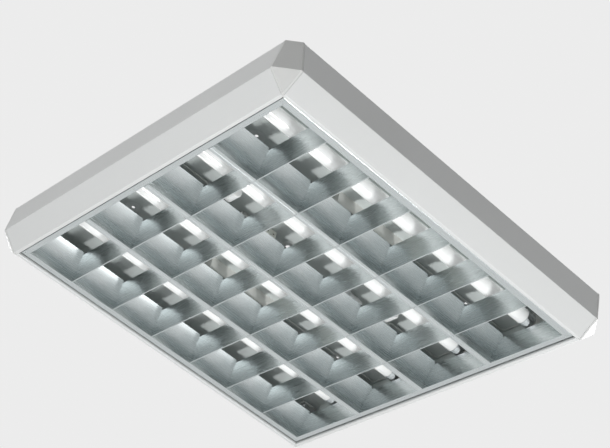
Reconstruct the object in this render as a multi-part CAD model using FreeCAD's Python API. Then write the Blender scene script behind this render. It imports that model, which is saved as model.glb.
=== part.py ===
"""Square ceiling luminaire for four straight fluorescent lamps, with a hinged parabolic louvre.

All sizes are millimetres. Z points up. The origin is the middle of the ceiling plane, and the
luminaire hangs below it. X runs along the lamps and Y runs across them.
"""
import FreeCAD, Part
from FreeCAD import Vector
import math
import os

# ---------------------------------------------------------------- body
body_height = 78.0          # ceiling to the lowest face of the rim
ceiling_width = 660.0       # body at the ceiling
fold_width = 672.0          # body at the widest fold
fold_drop = 51.5            # ceiling to the widest fold
rim_width = 617.0           # over the rim's lowest face
rim_flange = 6.0            # width of the flat rim
rim_lip = 4.5               # height of the lip inside the rim
wall_sheet = 0.8            # steel of the side walls and the tray
wall_bend = 0.8             # inside radius of their folds
top_flange = 12.0           # side wall turned in at the ceiling
corner_cut_fold = 28.0      # corner cut at the widest fold
corner_cut_shoulder = 18.0  # corner cut where the cap's top bevel starts
corner_cut_top = 17.0       # corner cut at the ceiling
shoulder_drop = 7.5         # ceiling to the start of that bevel
cap_wall = 2.0              # moulded corner cap
cap_joint = 0.4             # gap between a cap and a side wall
cap_wrap = 3.2              # cap carried round past its cut corner
tongue_length = 14.0        # cap tongue behind a side wall
tongue_wall = 1.5
tongue_gap = 0.3
tab_size = 16.0             # cap tab under the tray
tab_wall = 3.0

# ---------------------------------------------------------------- tray
tray_inset = 3.0            # side wall's inner face to the tray's edge, at the ceiling
tray_skirt = 15.0           # depth of the turned-down edges
tray_corner = 2.0           # tray's corner notch past the cap
rib_width = 9.0
rib_depth = 2.0
rib_length = 500.0
fixing_spacing_x = 450.0    # four ceiling screws
fixing_hole = 5.5
fixing_pad = 28.0           # raised pad round each screw
grommet_hole = 20.0
cable_x = -25.0             # cable hole, beside the supply terminals
cable_ring = 36.0           # pressed ring round the cable hole
grommet_bore = 11.0
grommet_flange = 26.0
grommet_lip = 1.6

# ---------------------------------------------------------------- lamps
lamp_pitch = 142.0          # lamp to lamp, and divider to divider
lamp_count = 4
lamp_length = 589.8         # between the end faces of the lamp's caps
lamp_width = 26.0           # over the lamp's caps
lamp_drop = 17.5            # ceiling to the lamp's axis
glass_wall = 0.8
glass_step = 0.2            # glass below the cap's radius
glass_neck = 0.9            # further step of the glass inside the cap
end_cap_length = 16.0
end_cap_wall = 0.4
pin_length = 7.1
pin_width = 2.35
pin_spacing = 12.7

# ---------------------------------------------------------------- lampholders
holder_gap = 0.5            # lamp's end face to the holder
holder_depth = 15.0
holder_width = 25.0
holder_foot_gap = 0.3       # holder to the tray
rotor_width = 18.4
rotor_depth = 8.0
rotor_slot = 3.0
rotor_gap = 0.3
spigot_width = 9.0
spigot_height = 6.0
spigot_length = 3.0
bracket_sheet = 0.8
bracket_foot = 12.0
bracket_height = 27.0
bracket_end_gap = 15.2      # bracket's end to the corner cap's tab

# ---------------------------------------------------------------- louvre
louvre_size = 600.0         # over the louvre's frame
louvre_recess = 3.5         # louvre's face above the rim's face
frame_band_end = 9.5        # frame width at the ends of the lamps
frame_band_side = 12.5      # frame width along the lamps
frame_upstand = 14.0
louvre_sheet = 0.5
louvre_bend = 0.4
louvre_height = 45.0        # dividers and side reflectors
divider_foot = 11.0         # flat bottom of a divider
divider_top = 52.0          # width over the top of a divider
divider_hem = 4.0           # sheet turned in at the top
groove_width = 1.0          # seam along the bottom of a divider
groove_depth = 0.25
blade_count = 6
blade_pitch = 83.0
blade_height = 42.0
blade_foot = 1.6            # bottom edge of a cross blade
blade_top = 14.0            # width over the top of a cross blade
blade_sheet = 0.4
blade_strip = 4.0           # depth of the blade's unbroken bottom edge
fit_gap = 0.2               # between louvre pieces that slot together

# ---------------------------------------------------------------- hinge and catches
hinge_spacing = 400.0
hinge_inset = 4.5           # frame's outer face to the pin
hinge_rise = 4.2            # louvre's face to the pin
hinge_pin_width = 3.0
hinge_pin_length = 9.0
hinge_play = 0.2            # radial, pin to arm
hinge_eye = 6.6
arm_width = 5.0
arm_sheet = 1.5
arm_foot = 14.0
lug_sheet = 1.0
lug_gap = 0.35              # arm to lug
catch_width = 16.0
catch_sheet = 0.6
catch_gap = 0.3             # nose to the louvre's frame
catch_rise = 9.0            # louvre's face to the nose

# ---------------------------------------------------------------- gear
ballast_length = 150.0
ballast_width = 41.0
ballast_height = 24.0
ballast_foot = 12.0
ballast_plate = 1.2
terminal_length = 16.0
capacitor_width = 25.0
capacitor_length = 70.0
capacitor_x = 95.0
clip_sheet = 0.8
clip_width = 12.0
starter_x = 170.0
starter_width = 21.5
starter_length = 35.0
starter_pin = 3.2
starter_pin_spacing = 12.7
starter_pin_length = 5.0
starter_turn = 45.0         # degrees from locked to free
starter_socket = 8.0        # depth of a starter holder
starter_drop = 14.5         # ceiling to the starter's axis
socket_width = 25.0
socket_height = 24.0
starter_foot = 12.0         # starter bracket's foot under the tray
block_length = 32.0
block_width = 18.0
block_height = 15.0
block_x = -75.0
screw_width = 4.0
screw_head = 7.5
screw_head_height = 2.4

# ---------------------------------------------------------------- places that follow from the sizes
tray_top = -wall_sheet
tray_under = tray_top - wall_sheet
louvre_face = -body_height + louvre_recess
rim_inner = rim_width / 2 - rim_flange
wall_lean = (fold_width - ceiling_width) / 2 / fold_drop
cap_edge = rim_inner + cap_joint / 2
lamp_rows = [(i - (lamp_count - 1) / 2) * lamp_pitch for i in range(lamp_count)]
divider_rows = [(i - (lamp_count - 2) / 2) * lamp_pitch for i in range(lamp_count - 1)]
blade_places = [(i - (blade_count - 1) / 2) * blade_pitch for i in range(blade_count)]
holder_face = lamp_length / 2 + holder_gap
holder_back = holder_face + holder_depth
hinge_y = louvre_size / 2 - hinge_inset
hinge_z = louvre_face + hinge_rise
hinge_places = (-hinge_spacing / 2, hinge_spacing / 2)
tray_half = ceiling_width / 2 - wall_sheet - tray_inset
skirt_y = tray_half - wall_sheet
frame_inner_x = louvre_size / 2 - frame_band_end
frame_inner_y = louvre_size / 2 - frame_band_side


# ================================================================ plane geometry
def direction(a, b):
    """Unit vector from a to b in the plane."""
    length = math.hypot(b[0] - a[0], b[1] - a[1])
    return (b[0] - a[0]) / length, (b[1] - a[1]) / length


def offset_path(points, distance):
    """Open path moved to the left of its direction, with mitred corners."""
    moved = []
    last = len(points) - 1
    for i, point in enumerate(points):
        before = direction(points[i - 1], point) if i > 0 else direction(point, points[i + 1])
        after = direction(point, points[i + 1]) if i < last else before
        nx = -before[1] - after[1]
        ny = before[0] + after[0]
        scale = distance / (1 + before[0] * after[0] + before[1] * after[1])
        moved.append((point[0] + nx * scale, point[1] + ny * scale))
    return moved


def closed_wire(corners, place):
    """Closed wire through (a, b, radius) corners, rounded where radius is above zero."""
    count = len(corners)
    starts, ends, middles = [], [], []
    for i, (a, b, radius) in enumerate(corners):
        before = direction(corners[i - 1], (a, b))
        after = direction((a, b), corners[(i + 1) % count])
        cosine = before[0] * after[0] + before[1] * after[1]
        if radius <= 0 or cosine > 0.9999:
            starts.append((a, b))
            ends.append((a, b))
            middles.append(None)
            continue
        half = math.acos(cosine) / 2
        reach = radius * math.tan(half)
        starts.append((a - before[0] * reach, b - before[1] * reach))
        ends.append((a + after[0] * reach, b + after[1] * reach))
        inward = direction((0, 0), (after[0] - before[0], after[1] - before[1]))
        sag = radius / math.cos(half) - radius
        middles.append((a + inward[0] * sag, b + inward[1] * sag))
    edges = []
    for i in range(count):
        if middles[i]:
            arc = Part.Arc(place(*starts[i]), place(*middles[i]), place(*ends[i]))
            edges.append(arc.toShape())
        following = (i + 1) % count
        edges.append(Part.LineSegment(place(*ends[i]), place(*starts[following])).toShape())
    return Part.Wire(edges)


def sheet_outline(path, thickness, bend):
    """Corners of a folded sheet whose visible face is the path and whose body lies to its left.

    A negative thickness puts the body to the right.
    """
    other = offset_path(path, thickness)
    near, far = [], []
    last = len(path) - 1
    for i in range(len(path)):
        if 0 < i < last:
            before = direction(path[i - 1], path[i])
            after = direction(path[i], path[i + 1])
            turn = before[0] * after[1] - before[1] * after[0]
            outside = turn * thickness > 0
            near_radius = bend + abs(thickness) if outside else bend
            far_radius = bend if outside else bend + abs(thickness)
        else:
            near_radius = far_radius = 0
        near.append((path[i][0], path[i][1], near_radius))
        far.append((other[i][0], other[i][1], far_radius))
    return near + far[::-1]


def sharp(points):
    """The same corners with no rounding."""
    return [(a, b, 0) for a, b in points]


def along_x(corners, low, high):
    """Solid with its outline in the (Y, Z) plane, from x = low to x = high."""
    wire = closed_wire(corners, lambda a, b: Vector(low, a, b))
    return Part.Face(wire).extrude(Vector(high - low, 0, 0))


def along_y(corners, low, high):
    """Solid with its outline in the (X, Z) plane, from y = low to y = high."""
    wire = closed_wire(corners, lambda a, b: Vector(a, low, b))
    return Part.Face(wire).extrude(Vector(0, high - low, 0))


def along_z(corners, low, high):
    """Solid with its outline in the (X, Y) plane, from z = low to z = high."""
    wire = closed_wire(corners, lambda a, b: Vector(a, b, low))
    return Part.Face(wire).extrude(Vector(0, 0, high - low))


def box(x0, x1, y0, y1, z0, z1):
    """Box between two corners."""
    return Part.makeBox(x1 - x0, y1 - y0, z1 - z0, Vector(x0, y0, z0))


def rod(radius, start, end):
    """Cylinder between two points."""
    axis = end - start
    return Part.makeCylinder(radius, axis.Length, start, axis)


def fused(shapes):
    """One solid from touching shapes."""
    shapes = list(shapes)
    whole = shapes[0].fuse(shapes[1:]) if len(shapes) > 1 else shapes[0]
    return whole.removeSplitter()


def group(shapes):
    """Separate solids kept in one file."""
    solids = []
    for shape in shapes:
        solids.extend(shape.Solids)
    return Part.makeCompound(solids)


def turned(shape, degrees, axis=Vector(0, 0, 1), centre=Vector(0, 0, 0)):
    """Copy turned about an axis."""
    copy = shape.copy()
    copy.rotate(centre, axis, degrees)
    return copy


def mirrored(shape, normal):
    """Copy mirrored in a plane through the origin."""
    return shape.mirror(Vector(0, 0, 0), normal)


def moved(shape, x=0.0, y=0.0, z=0.0):
    """Copy moved."""
    copy = shape.copy()
    copy.translate(Vector(x, y, z))
    return copy


# ================================================================ housing
def wall_path():
    """Outer face of a side wall, (distance from the middle, height), from the top flange down."""
    top = ceiling_width / 2
    return [(top - top_flange, 0), (top, 0), (fold_width / 2, -fold_drop),
            (rim_width / 2, -body_height), (rim_inner, -body_height),
            (rim_inner, -body_height + rim_lip)]


def side_wall():
    """Folded steel wall on the +Y side, trimmed along the corner caps and mitred at the rim."""
    corners = sheet_outline(wall_path(), -wall_sheet, wall_bend)
    wall = along_x(corners, -ceiling_width / 2, ceiling_width / 2)
    seam = seam_path(-cap_joint / 2)
    ends = sharp([(-a, b) for a, b in seam] + seam[::-1])
    wall = wall.common(along_y(ends, 0, ceiling_width))
    gap = cap_joint / 2
    mitre = sharp([(-ceiling_width + gap, ceiling_width), (0, gap), (ceiling_width - gap, ceiling_width)])
    return wall.common(along_z(mitre, -body_height, 0))


def seam_path(shift):
    """Edge between a side wall and a cap, (distance along the wall, height), from the top down."""
    drops = (0, shoulder_drop, fold_drop, body_height)
    return [(half_width_at(drop) - cut_at(drop) - cap_wrap + shift, -drop) for drop in drops]


def cut_at(drop):
    """Corner cut at a depth below the ceiling."""
    levels = [(0, corner_cut_top), (shoulder_drop, corner_cut_shoulder),
              (fold_drop, corner_cut_fold), (body_height, 0)]
    for (z0, c0), (z1, c1) in zip(levels, levels[1:]):
        if drop <= z1:
            return c0 + (c1 - c0) * (drop - z0) / (z1 - z0)
    return 0


def half_width_at(drop):
    """Half width of the body at a depth below the ceiling."""
    if drop <= fold_drop:
        return ceiling_width / 2 + wall_lean * drop
    share = (drop - fold_drop) / (body_height - fold_drop)
    return fold_width / 2 + (rim_width - fold_width) / 2 * share


def body_corner(inset):
    """Solid corner of the body, all faces moved in by inset. Three prisms meet in it."""
    flat = [(half_width_at(drop), -drop) for drop in (0, fold_drop, body_height)]
    diagonal = [((half_width_at(drop) * 2 - cut_at(drop)) / math.sqrt(2), -drop)
                for drop in (0, shoulder_drop, fold_drop, body_height)]
    start = 200.0
    reach = ceiling_width

    def section(points):
        outline = [(start, 0)] + points + [(start, -body_height)]
        return sharp(offset_path(outline, -inset) if inset else outline)

    across_y = along_x(section(flat), start, reach)
    across_x = along_y(section(flat), start, reach)
    slanted = turned(along_y(section(diagonal), -reach, reach), 45)
    return across_y.common(across_x).common(slanted)


def corner_cap():
    """Moulded cap at the (+X, +Y) corner: shell, two tongues and a screw tab."""
    solid = body_corner(0)
    shell = solid.cut(body_corner(cap_wall))
    reach = ceiling_width
    region = sharp(seam_path(cap_joint / 2) + [(reach, -body_height), (reach, 0)])
    shell = shell.common(along_y(region, 0, reach)).common(along_x(region, 0, reach))
    outer = body_corner(wall_sheet + tongue_gap)
    inner = body_corner(wall_sheet + tongue_gap + tongue_wall)
    lining = outer.cut(inner)
    low = -body_height + rim_lip
    high = -top_flange
    inside = cap_edge + tongue_length - cap_wall
    tongue = lining.common(box(cap_edge - tongue_length, inside, cap_edge + tongue_length, reach,
                               low, high))
    other = lining.common(box(cap_edge + tongue_length, reach, cap_edge - tongue_length, inside,
                              low, high))
    tab_start = cap_edge - tab_size
    tab = box(tab_start, cap_edge + tab_size, tab_start, cap_edge + tab_size,
              tray_under - tab_wall, tray_under)
    tab = tab.common(body_corner(cap_wall / 2))
    cap = fused([shell, tongue, other, tab])
    screw = cap_screw_place()
    cap = cap.cut(rod(screw_width / 2 + hinge_play, screw + Vector(0, 0, -2 * tab_wall), screw))
    return cap


def cap_screw_place():
    """Where the cap's screw meets the underside of the tray."""
    place = cap_edge - tab_size / 2
    return Vector(place, place, tray_under)


def pan_screw(place, grip, tip):
    """Screw with its head below, its head's seat grip below place and its tip above place."""
    seat = place + Vector(0, 0, -grip)
    head = Part.makeCone(screw_head / 2, screw_head / 3, screw_head_height, seat, Vector(0, 0, -1))
    shank = rod(screw_width / 2, seat + Vector(0, 0, -1), place + Vector(0, 0, tip))
    return fused([head, shank])


def fixing_places():
    """Ceiling screw holes, behind the outer dividers."""
    y = divider_rows[-1]
    x = fixing_spacing_x / 2
    return [(sx * x, sy * y) for sx in (-1, 1) for sy in (-1, 1)]


def back_tray():
    """Pressed steel tray: flat plate, skirts, ribs, screw pads and the cable hole."""
    half = tray_half
    notch = cap_edge - tray_corner
    plate = box(-half, half, -half, half, tray_under, tray_top)
    corner = box(notch, half + 1, notch, half + 1, 2 * tray_under, 0)
    screw = cap_screw_place()
    hole = rod(screw_width / 2 + fit_gap / 2, screw + Vector(0, 0, -1), screw + Vector(0, 0, 1))
    for angle in (0, 90, 180, 270):
        plate = plate.cut(turned(corner, angle)).cut(turned(hole, angle))
    skirt_half = cap_edge - 2 * tongue_length
    skirt = box(-skirt_half, skirt_half, skirt_y, half, tray_under - tray_skirt, tray_under)
    plate = fused([plate] + [turned(skirt, angle) for angle in (0, 90, 180, 270)])
    for x, y in fixing_places():
        plate = plate.cut(rod(fixing_pad / 2, Vector(x, y, 2 * tray_under), Vector(x, y, 0)))
        plate = plate.fuse(screw_pad(x, y))
    plate = plate.cut(rod(cable_ring / 2, Vector(cable_x, 0, 2 * tray_under), Vector(cable_x, 0, 0)))
    return add_ribs(plate.fuse(cable_collar()))


def cable_collar():
    """Ring pressed up by a little round the cable hole."""
    r0, r1 = grommet_hole / 2, cable_ring / 2
    step = wall_sheet / 2
    corners = [(r0, tray_under + step), (r1 - 2, tray_under + step), (r1 - 1, tray_under),
               (r1, tray_under), (r1, tray_top), (r1 - 1, tray_top + step), (r0, tray_top + step)]
    wire = closed_wire(sharp(corners), lambda a, b: Vector(cable_x + a, 0, b))
    return Part.Face(wire).revolve(Vector(cable_x, 0, 0), Vector(0, 0, 1), 360)


def screw_pad(x, y):
    """Raised pad that bears on the ceiling, with its screw hole."""
    r0, r1, r2 = fixing_hole / 2, fixing_pad / 2 - wall_sheet, fixing_pad / 2
    corners = [(r0, 0, 0), (r2, 0, 0), (r2, tray_under, 0), (r1, tray_under, 0),
               (r1, tray_top, 0), (r0, tray_top, 0)]
    wire = closed_wire(corners, lambda a, b: Vector(x + a, y, b))
    return Part.Face(wire).revolve(Vector(x, y, 0), Vector(0, 0, 1), 360)


def add_ribs(plate):
    """Stiffening ribs pressed down between the lamps and beside the outer ones."""
    rows = [lamp_rows[-1] + lamp_pitch / 4, lamp_rows[-1] - lamp_pitch / 4,
            lamp_rows[-2] + lamp_pitch / 4]
    half, reach, slope = rib_width / 2, rib_length / 2, rib_depth / 2
    for row in rows + [-row for row in rows]:
        slot = box(-reach, reach, row - half, row + half, 2 * tray_under, 0)
        low = tray_under - rib_depth
        outer = sharp([(row - half, tray_top), (row - half, tray_under), (row - half + slope, low),
                       (row + half - slope, low), (row + half, tray_under),
                       (row + half, tray_top)])
        edge = half - wall_sheet
        inner = sharp([(row - edge, tray_top), (row - edge, tray_under),
                       (row - edge + slope, low + wall_sheet),
                       (row + edge - slope, low + wall_sheet), (row + edge, tray_under),
                       (row + edge, tray_top)])
        rib = along_x(outer, -reach, reach)
        rib = rib.cut(along_x(inner, wall_sheet - reach, reach - wall_sheet))
        plate = plate.cut(slot).fuse(rib)
    return plate


def cable_grommet():
    """Rubber ring in the tray's cable hole."""
    r0, r1, r2 = grommet_bore / 2, grommet_hole / 2 - fit_gap / 2, grommet_flange / 2
    seat, top = tray_under + wall_sheet / 2, tray_top + wall_sheet / 2
    low = seat - grommet_lip
    corners = [(r0, low), (r2 - grommet_lip / 2, low), (r2, low + grommet_lip / 2),
               (r2, seat), (r1, seat), (r1, top), (r0, top)]
    wire = closed_wire(sharp(corners), lambda a, b: Vector(cable_x + a, 0, b))
    return Part.Face(wire).revolve(Vector(cable_x, 0, 0), Vector(0, 0, 1), 360)


# ================================================================ lamps and their holders
def revolved(corners, row, height):
    """Solid turned about a lamp's axis from (x, radius) corners."""
    wire = closed_wire(corners, lambda a, b: Vector(a, row, height + b))
    return Part.Face(wire).revolve(Vector(0, row, height), Vector(1, 0, 0), 360)


def lamp_glass(row):
    """Closed glass tube, stepped in where the end caps grip it."""
    radius = lamp_width / 2 - glass_step
    neck = radius - glass_neck
    shoulder = lamp_length / 2 - end_cap_length
    tip = lamp_length / 2 - end_cap_wall - 2 * fit_gap
    outer = [(-tip, 0), (-tip, neck), (-shoulder - fit_gap, neck),
             (-shoulder + glass_neck, radius), (shoulder - glass_neck, radius),
             (shoulder + fit_gap, neck), (tip, neck), (tip, 0)]
    inner_tip = tip - glass_wall
    bore = neck - glass_wall
    inner = [(-inner_tip, 0), (-inner_tip, bore), (inner_tip, bore), (inner_tip, 0)]
    glass = revolved(sharp(outer), row, -lamp_drop)
    return glass.cut(revolved(sharp(inner), row, -lamp_drop))


def lamp_end_cap(row):
    """Aluminium cap with its two pins, at the +X end."""
    radius = lamp_width / 2
    end = lamp_length / 2
    start = end - end_cap_length
    inner = radius - end_cap_wall
    bevel = 2 * end_cap_wall
    corners = [(start, inner), (start, radius), (end - bevel, radius), (end, radius - bevel),
               (end, 0), (end - end_cap_wall, 0), (end - end_cap_wall, inner)]
    cap = revolved(sharp(corners), row, -lamp_drop)
    pins = []
    for side in (-1, 1):
        y = row + side * pin_spacing / 2
        start_point = Vector(end - end_cap_wall / 2, y, -lamp_drop)
        pin = rod(pin_width / 2, start_point, Vector(end + pin_length, y, -lamp_drop))
        pins.append(pin)
    return fused([cap] + pins)


def both_ends(shape):
    """The shape at +X and its mirror at -X."""
    return group([shape, mirrored(shape, Vector(1, 0, 0))])


def lampholder(row):
    """Holder at the +X end: rounded body, round seat for the rotor and a slot for the pins."""
    half = holder_width / 2
    top = tray_under - holder_foot_gap
    low = -lamp_drop
    body = box(holder_face, holder_back, row - half, row + half, low, top)
    round_end = rod(half, Vector(holder_face, row, low), Vector(holder_back, row, low))
    spigot = box(holder_back, holder_back + spigot_length, row - spigot_width / 2,
                 row + spigot_width / 2, low - spigot_height / 2, low + spigot_height / 2)
    seat_end = holder_face + rotor_depth + 2 * rotor_gap
    seat = rod(rotor_width / 2 + rotor_gap, Vector(holder_face, row, low),
               Vector(seat_end, row, low))
    slot = box(holder_face, seat_end, row - rotor_slot / 2, row + rotor_slot / 2, low - holder_width,
               low)
    return fused([body, round_end, spigot]).cut(seat).cut(slot)


def rotor(row):
    """Slotted disc that the pins turn in, at the +X end, in its locked position."""
    start = holder_face + rotor_gap
    low = -lamp_drop
    disc = rod(rotor_width / 2, Vector(start, row, low), Vector(start + rotor_depth, row, low))
    slot = box(start, start + rotor_depth - 1, row - rotor_width, row + rotor_width,
               low - rotor_slot / 2, low + rotor_slot / 2)
    return disc.cut(slot)


def holder_bracket():
    """Folded strip that carries the four holders at the +X end."""
    web = holder_back + fit_gap
    reach = cap_edge - tab_size - bracket_end_gap
    path = [(web + bracket_foot, tray_under), (web, tray_under),
            (web, tray_under - bracket_height)]
    bracket = along_y(sheet_outline(path, bracket_sheet, wall_bend), -reach, reach)
    for row in lamp_rows:
        hole = box(web - 1, web + 2 * bracket_sheet, row - spigot_width / 2 - fit_gap,
                   row + spigot_width / 2 + fit_gap, -lamp_drop - spigot_height / 2 - fit_gap,
                   -lamp_drop + spigot_height / 2 + fit_gap)
        bracket = bracket.cut(hole)
    return bracket


# ================================================================ louvre
def parabola_edge(foot, head, place):
    """Parabola that leaves foot upright and leans over to head."""
    knee = (foot[0], (foot[1] + head[1]) / 2)
    curve = Part.BezierCurve()
    curve.setPoles([place(*foot), place(*knee), place(*head)])
    return curve.toShape()


def trough_face(foot_half, top_half, height, place):
    """Face between two parabolas that open upwards from a flat foot."""
    base = louvre_face
    left_foot, left_head = (-foot_half, base), (-top_half, base + height)
    right_foot, right_head = (foot_half, base), (top_half, base + height)
    edges = [parabola_edge(left_foot, left_head, place),
             Part.LineSegment(place(*left_head), place(*right_head)).toShape(),
             parabola_edge(right_foot, right_head, place),
             Part.LineSegment(place(*right_foot), place(*left_foot)).toShape()]
    return Part.Face(Part.Wire(Part.sortEdges(edges)[0]))


def trough(foot_half, top_half, height, wall, place, sweep):
    """Thin-walled trough: two parabolic flanks on a flat foot, open at the top."""
    outer = trough_face(foot_half, top_half, height, place).extrude(sweep)
    inner = trough_face(foot_half - wall, top_half - wall, height, place).extrude(sweep)
    inner.translate(Vector(0, 0, wall))
    return outer.cut(inner)


def divider_body(grown, start, end):
    """Solid outline of a divider at y = 0, grown by a clearance."""
    face = trough_face(divider_foot / 2 + grown, divider_top / 2 + grown, louvre_height,
                       lambda a, b: Vector(start, a, b))
    return face.extrude(Vector(end - start, 0, 0))


def divider(row):
    """Divider between two rows of cells, slotted for the cross blades."""
    reach = frame_inner_x - fit_gap
    sweep = Vector(2 * reach, 0, 0)
    body = trough(divider_foot / 2, divider_top / 2, louvre_height, louvre_sheet,
                  lambda a, b: Vector(-reach, a, b), sweep)
    top = louvre_face + louvre_height
    hems = []
    for side in (-1, 1):
        ys = sorted((side * (divider_top / 2 - louvre_sheet), side * (divider_top / 2 - divider_hem)))
        hems.append(box(-reach, reach, ys[0], ys[1], top - louvre_sheet, top))
    body = fused([body] + hems)
    groove = sharp([(-groove_width / 2, louvre_face), (0, louvre_face + groove_depth),
                    (groove_width / 2, louvre_face)])
    body = body.cut(along_x(groove, -reach, reach))
    slot_half = blade_foot / 2 + fit_gap
    for x in blade_places:
        slot = box(x - slot_half, x + slot_half, -divider_foot, divider_foot, louvre_face,
                   louvre_face + blade_strip + fit_gap)
        body = body.cut(slot)
    return moved(body, y=row)


def side_flank_outline():
    """Corners where the side reflector's flank meets the frame, at y > 0."""
    foot = (frame_inner_y, louvre_face)
    head = (frame_inner_y - (divider_top - divider_foot) / 2, louvre_face + louvre_height)
    return foot, head


def cell_end_body(grown, low, high):
    """Everything outside the +Y flank of the last row, moved in by a clearance."""
    foot, head = side_flank_outline()
    foot = (foot[0] - grown, foot[1])
    head = (head[0] - grown, head[1])
    place = lambda a, b: Vector(low, a, b)
    outside = louvre_size
    edges = [parabola_edge(foot, head, place),
             Part.LineSegment(place(*head), place(outside, head[1])).toShape(),
             Part.LineSegment(place(outside, head[1]), place(outside, foot[1])).toShape(),
             Part.LineSegment(place(outside, foot[1]), place(*foot)).toShape()]
    return Part.Face(Part.Wire(edges)).extrude(Vector(high - low, 0, 0))


def side_reflector():
    """Frame rail and last flank on the +Y side, from one folded sheet."""
    half = louvre_size / 2
    base = louvre_face
    foot, head = side_flank_outline()
    rail_path = [(half, base + frame_upstand), (half, base), (frame_inner_y, base)]
    rail = along_x(sheet_outline(rail_path, -louvre_sheet, louvre_bend), -half, half)
    outer = cell_end_body(0, -half, half)
    inner = cell_end_body(-louvre_sheet, -half, half)
    skin = outer.cut(inner).common(box(-half, half, 0, half, base, base + louvre_height))
    hem = box(-half, half, head[0] + louvre_sheet, head[0] + divider_hem,
              base + louvre_height - louvre_sheet, base + louvre_height)
    reflector = fused([rail, skin, hem])
    reflector = reflector.common(mitre_prism(frame_inner_x, frame_inner_y, 0))
    notch_half = arm_sheet / 2 + hinge_play + lug_gap
    for x in hinge_places:
        notch = box(x - notch_half, x + notch_half, half - 2 * louvre_sheet, half + 1,
                    base + 2 * louvre_sheet, base + frame_upstand + 1)
        reflector = reflector.cut(notch)
    return reflector


def mitre_prism(inner_along, inner_across, angle):
    """Plan region of one frame piece: square inside the frame, mitred across the frame's band."""
    half = louvre_size / 2
    gap = fit_gap / 2
    corners = sharp([(-inner_along + gap, 0), (inner_along - gap, 0),
                     (inner_along - gap, inner_across), (half - gap, half),
                     (-half + gap, half), (-inner_along + gap, inner_across)])
    prism = along_z(corners, louvre_face, louvre_face + louvre_height)
    return turned(prism, angle)


def end_channel():
    """Frame rail and end wall on the +X side, from one folded sheet."""
    half = louvre_size / 2
    base = louvre_face
    path = [(half, base + frame_upstand), (half, base), (frame_inner_x, base),
            (frame_inner_x, base + blade_height)]
    channel = along_y(sheet_outline(path, -louvre_sheet, louvre_bend), -half, half)
    return channel.common(mitre_prism(frame_inner_y, frame_inner_x, -90))


def cross_blade(x):
    """Blade across all rows, trimmed to the dividers above its unbroken bottom edge."""
    reach = frame_inner_y
    place = lambda a, b: Vector(x + a, -reach, b)
    blade = trough(blade_foot / 2, blade_top / 2, blade_height, blade_sheet, place,
                   Vector(0, 2 * reach, 0))
    low, high = x - blade_top, x + blade_top
    above = box(low, high, -reach, reach, louvre_face + blade_strip, louvre_face + louvre_height)
    cutter = divider_body(fit_gap, low, high).common(above)
    for row in divider_rows:
        blade = blade.cut(moved(cutter, y=row))
    end = cell_end_body(fit_gap, low, high)
    return blade.cut(end).cut(mirrored(end, Vector(0, 1, 0)))


# ================================================================ hinge and catches
def hinge_lug(x):
    """Eye plate on the louvre's rail."""
    base = louvre_face + louvre_sheet
    eye = rod(hinge_eye / 2, Vector(x, hinge_y, hinge_z), Vector(x + lug_sheet, hinge_y, hinge_z))
    web = box(x, x + lug_sheet, hinge_y - hinge_eye / 2, hinge_y + hinge_eye / 2, base, hinge_z)
    return fused([eye, web])


def hinge_lugs(x):
    """Pair of lugs, one on each side of the arm."""
    inner = arm_sheet / 2 + lug_gap
    lugs = [hinge_lug(x + inner), hinge_lug(x - inner - lug_sheet)]
    hole = rod(hinge_pin_width / 2, Vector(x - hinge_pin_length, hinge_y, hinge_z),
               Vector(x + hinge_pin_length, hinge_y, hinge_z))
    return [lug.cut(hole) for lug in lugs]


def hinge_pin(x):
    """Pin through the lugs and the arm."""
    half = hinge_pin_length / 2
    return rod(hinge_pin_width / 2, Vector(x - half, hinge_y, hinge_z),
               Vector(x + half, hinge_y, hinge_z))


def hinge_arm(x):
    """Cranked arm from the tray's skirt down to the pin."""
    half = arm_width / 2
    knee = louvre_face + frame_upstand + arm_width
    foot_low = tray_under - tray_skirt
    seat = skirt_y
    path = [(seat - half, tray_under - 1), (seat - half, foot_low),
            (hinge_y, knee), (hinge_y, hinge_z)]
    side = offset_path(path, half)
    other = offset_path(path, -half)
    web = along_x(sharp(side + other[::-1]), x - arm_sheet / 2, x + arm_sheet / 2)
    eye = rod(hinge_eye / 2, Vector(x - arm_sheet / 2, hinge_y, hinge_z),
              Vector(x + arm_sheet / 2, hinge_y, hinge_z))
    foot = box(x - arm_foot / 2, x + arm_foot / 2, seat - arm_sheet, seat, foot_low,
               tray_under - 1)
    hole = rod(hinge_pin_width / 2 + hinge_play, Vector(x - arm_foot, hinge_y, hinge_z),
               Vector(x + arm_foot, hinge_y, hinge_z))
    return fused([web, eye, foot]).cut(hole)


def spring_catch(x):
    """Leaf spring on the -Y side whose rounded nose bears on the louvre's rail."""
    seat = catch_sheet - skirt_y
    nose = -louvre_size / 2 - catch_gap
    nose_z = louvre_face + catch_rise
    low_z = louvre_face - louvre_recess + rim_lip + 1.5
    path = [(seat, tray_under - 1), (seat, tray_under - tray_skirt),
            (nose - 5, nose_z + 9), (nose, nose_z), (nose - 3, low_z)]
    outline = sheet_outline(path, -catch_sheet, 1.5)
    return along_x(outline, x - catch_width / 2, x + catch_width / 2)


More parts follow.
